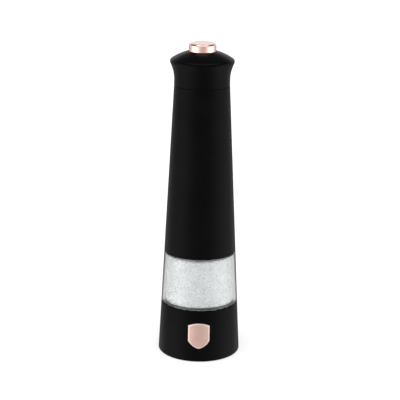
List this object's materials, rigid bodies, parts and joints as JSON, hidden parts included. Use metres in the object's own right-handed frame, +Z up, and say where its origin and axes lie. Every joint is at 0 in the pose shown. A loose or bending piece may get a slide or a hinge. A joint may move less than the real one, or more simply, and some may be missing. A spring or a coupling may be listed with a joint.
{
  "type": "pepper mill",
  "caption": "Upright battery mill with a tapered black body, flared head, rose-gold push button, clear chamber and black base with a shield-shaped plate.",
  "frame": {"origin": "centre of the flat rim that the mill stands on", "axes": "+Z up along the mill's axis, -Y out of the front, where the nameplate is"},
  "size_m": [0.0576, 0.0576, 0.22],
  "materials": {
    "black_abs": "satin",
    "black_nylon": "matte",
    "clear_acrylic": "polished",
    "rose_metal": "satin",
    "seal_silicone": "matte",
    "burr_ceramic": "matte",
    "plain_steel": "satin",
    "gear_acetal": "satin",
    "contact_brass": "satin",
    "coil_copper": "satin",
    "magnet_ferrite": "matte",
    "cell_jacket": "satin",
    "lead_red": "satin",
    "lead_black": "satin"
  },
  "bodies": {
    "base": {"base_shell": "black_abs", "nameplate": "rose_metal", "spice_chamber": "clear_acrylic", "chamber_seal": "seal_silicone", "grinder_housing": "black_nylon", "housing_screws": "plain_steel", "ring_burr": "burr_ceramic", "shaft_bush": "contact_brass", "bottom_cover": "black_nylon", "cover_screws": "plain_steel"},
    "shaft": {"drive_shaft": "plain_steel", "burr_spring": "plain_steel"},
    "burr": {"cone_burr": "burr_ceramic"},
    "knob": {"adjuster_knob": "black_nylon"},
    "gasket": {"body_gasket": "seal_silicone"},
    "body": {"body_shell": "black_abs", "motor_housing": "black_nylon", "battery_cup": "black_nylon", "cup_screws": "plain_steel", "supply_spring": "contact_brass", "return_strip": "contact_brass", "gear_ring": "black_nylon", "output_bush": "contact_brass", "motor_plate": "plain_steel", "motor_screws": "plain_steel", "motor_can": "plain_steel", "motor_magnets": "magnet_ferrite", "motor_end_cap": "black_nylon", "motor_brushes": "contact_brass", "motor_terminals": "contact_brass", "supply_lead": "lead_red", "return_lead": "lead_black"},
    "rotor": {"armature_core": "plain_steel", "armature_coils": "coil_copper", "commutator": "coil_copper", "motor_shaft": "plain_steel", "sun_pinion": "plain_steel"},
    "first_carrier": {"first_carrier": "gear_acetal"},
    "second_carrier": {"second_carrier": "gear_acetal", "drive_socket": "black_nylon"},
    "battery": {"battery_carrier": "black_nylon", "aaa_cells": "cell_jacket", "cell_springs": "contact_brass", "cell_contacts": "contact_brass"},
    "head_ring": {"head_seal": "seal_silicone"},
    "head": {"head_shell": "black_abs", "head_plug": "black_nylon", "head_screws": "plain_steel", "button_spring": "plain_steel"},
    "button": {"push_button": "rose_metal", "button_stem": "black_nylon", "bridge_disc": "contact_brass"},
    "first_planet_a": {"first_planet_a": "gear_acetal"},
    "first_planet_b": {"first_planet_b": "gear_acetal"},
    "first_planet_c": {"first_planet_c": "gear_acetal"},
    "second_planet_a": {"second_planet_a": "gear_acetal"},
    "second_planet_b": {"second_planet_b": "gear_acetal"},
    "second_planet_c": {"second_planet_c": "gear_acetal"}
  },
  "joints": [
    {"name": "body_lift", "type": "slide", "parent": "base", "child": "gasket", "axis": [0, 0, 1], "range_m": [0, 0.06]},
    {"name": "body_twist", "type": "hinge", "parent": "gasket", "child": "body", "pos_m": [0, 0, 0], "axis": [0, 0, 1], "range_deg": [0, 36]},
    {"name": "cells_lift", "type": "slide", "parent": "body", "child": "battery", "axis": [0, 0, 1], "range_m": [0, 0.055]},
    {"name": "head_lift", "type": "slide", "parent": "battery", "child": "head_ring", "axis": [0, 0, 1], "range_m": [0, 0.042]},
    {"name": "head_twist", "type": "hinge", "parent": "head_ring", "child": "head", "pos_m": [0, 0, 0], "axis": [0, 0, 1], "range_deg": [0, 30]},
    {"name": "button_press", "type": "slide", "parent": "head", "child": "button", "axis": [0, 0, -1], "range_m": [0, 0.00225], "stiffness_N_per_m": 400, "springref_m": -0.003, "deforming": ["button_spring"]},
    {"name": "rotor_spin", "type": "hinge", "parent": "body", "child": "rotor", "pos_m": [0, 0, 0], "axis": [0, 0, 1], "continuous": true},
    {"name": "first_carrier_spin", "type": "hinge", "parent": "body", "child": "first_carrier", "pos_m": [0, 0, 0], "axis": [0, 0, 1], "continuous": true},
    {"name": "second_carrier_spin", "type": "hinge", "parent": "body", "child": "second_carrier", "pos_m": [0, 0, 0], "axis": [0, 0, 1], "continuous": true},
    {"name": "shaft_spin", "type": "hinge", "parent": "base", "child": "shaft", "pos_m": [0, 0, 0], "axis": [0, 0, 1], "continuous": true},
    {"name": "burr_gap", "type": "slide", "parent": "shaft", "child": "burr", "axis": [0, 0, -1], "range_m": [0, 0.0007], "deforming": ["burr_spring"]},
    {"name": "knob_turn", "type": "hinge", "parent": "burr", "child": "knob", "pos_m": [0, 0, 0], "axis": [0, 0, -1], "range_deg": [0, 360]},
    {"name": "first_planet_a_spin", "type": "hinge", "parent": "first_carrier", "child": "first_planet_a", "pos_m": [0.00675, 0, 0.10125], "axis": [0, 0, 1], "continuous": true},
    {"name": "first_planet_b_spin", "type": "hinge", "parent": "first_carrier", "child": "first_planet_b", "pos_m": [-0.00337, 0.00585, 0.10125], "axis": [0, 0, 1], "continuous": true},
    {"name": "first_planet_c_spin", "type": "hinge", "parent": "first_carrier", "child": "first_planet_c", "pos_m": [-0.00337, -0.00585, 0.10125], "axis": [0, 0, 1], "continuous": true},
    {"name": "second_planet_a_spin", "type": "hinge", "parent": "second_carrier", "child": "second_planet_a", "pos_m": [0.00675, 0, 0.09355], "axis": [0, 0, 1], "continuous": true},
    {"name": "second_planet_b_spin", "type": "hinge", "parent": "second_carrier", "child": "second_planet_b", "pos_m": [-0.00337, 0.00585, 0.09355], "axis": [0, 0, 1], "continuous": true},
    {"name": "second_planet_c_spin", "type": "hinge", "parent": "second_carrier", "child": "second_planet_c", "pos_m": [-0.00337, -0.00585, 0.09355], "axis": [0, 0, 1], "continuous": true}
  ],
  "couplings": [
    {"joint": "first_carrier_spin", "follows": "rotor_spin", "ratio": 0.2},
    {"joint": "second_carrier_spin", "follows": "rotor_spin", "ratio": 0.04},
    {"joint": "shaft_spin", "follows": "rotor_spin", "ratio": 0.04},
    {"joint": "knob_turn", "follows": "burr_gap", "rad_per_m": 8975},
    {"joint": "first_planet_a_spin", "follows": "rotor_spin", "ratio": -0.53333},
    {"joint": "first_planet_b_spin", "follows": "rotor_spin", "ratio": -0.53333},
    {"joint": "first_planet_c_spin", "follows": "rotor_spin", "ratio": -0.53333},
    {"joint": "second_planet_a_spin", "follows": "rotor_spin", "ratio": -0.10667},
    {"joint": "second_planet_b_spin", "follows": "rotor_spin", "ratio": -0.10667},
    {"joint": "second_planet_c_spin", "follows": "rotor_spin", "ratio": -0.10667}
  ]
}
